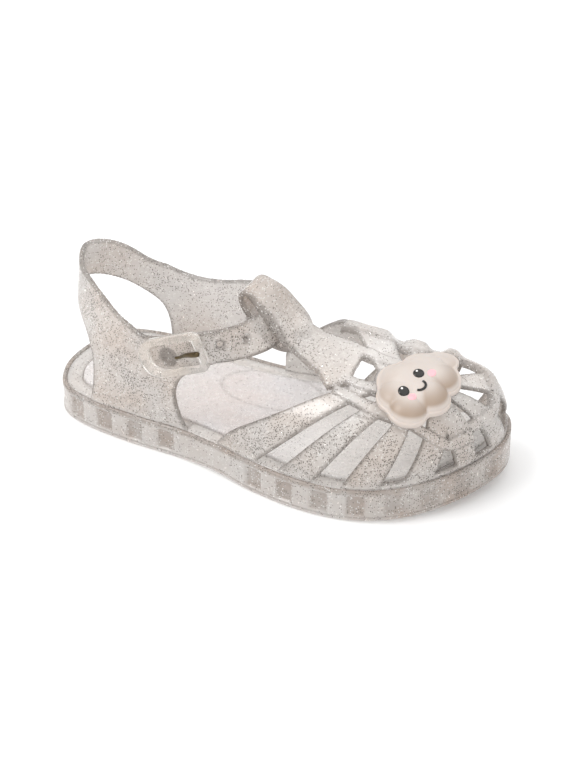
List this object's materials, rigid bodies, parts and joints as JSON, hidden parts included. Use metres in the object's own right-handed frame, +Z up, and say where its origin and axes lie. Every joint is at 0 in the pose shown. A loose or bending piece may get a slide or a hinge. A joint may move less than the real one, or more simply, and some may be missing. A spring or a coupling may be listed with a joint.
{
  "type": "jelly sandal",
  "caption": "Child's right jelly sandal: moulded caged upper on a ribbed sole, T bar, buckled ankle strap and a cloud ornament on the toe.",
  "frame": {"origin": "middle of the shoe's footprint, on the floor", "axes": "+X from heel to toe, +Y towards the inner side of the foot, +Z up; right shoe"},
  "size_m": [0.1702, 0.0718, 0.0622],
  "materials": {
    "sole_jelly": "clear soft plastic filled with silver glitter",
    "insole_jelly": "milky soft plastic with fine silver glitter",
    "upper_jelly": "clear soft plastic filled with silver glitter",
    "buckle_clear": "clear hard plastic",
    "prong_metal": "dull bronze-toned steel",
    "cloud_ivory": "satin cream with a small painted face"
  },
  "bodies": {
    "root": {"sole": "sole_jelly", "insole": "insole_jelly", "upper": "upper_jelly", "buckle_frame": "buckle_clear", "buckle_prong": "prong_metal", "cloud_ornament": "cloud_ivory"}
  },
  "joints": []
}
